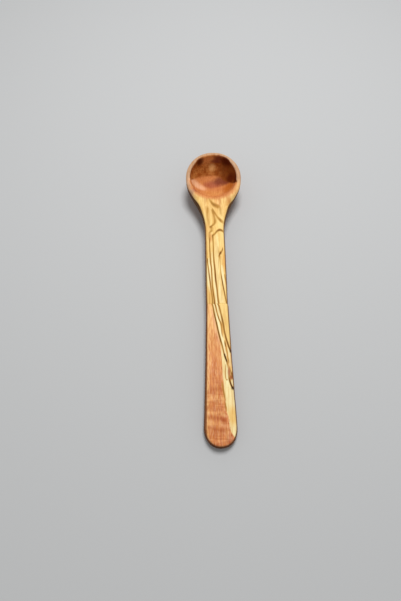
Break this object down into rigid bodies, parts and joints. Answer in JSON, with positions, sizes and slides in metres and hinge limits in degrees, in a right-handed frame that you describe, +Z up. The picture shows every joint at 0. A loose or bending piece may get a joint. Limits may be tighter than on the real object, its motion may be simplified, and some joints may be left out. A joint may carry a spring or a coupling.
{
  "type": "wooden ladle",
  "caption": "Carved olive wood ladle with a round bowl, a flared neck and a flat spliced handle that widens to a rounded end.",
  "frame": {"origin": "on the table, under the middle of the overall length", "axes": "+Y along the handle towards the bowl, +Z up out of the bowl, +X to the right when the bowl points away"},
  "size_m": [0.06, 0.31, 0.0328],
  "materials": {
    "pale_olive_wood": "oiled satin",
    "red_olive_wood": "oiled satin",
    "dowel_wood": "bare, dry"
  },
  "bodies": {
    "root": {"bowl_and_shaft": "pale_olive_wood", "grip": "red_olive_wood", "splice_dowel": "dowel_wood"}
  },
  "joints": []
}
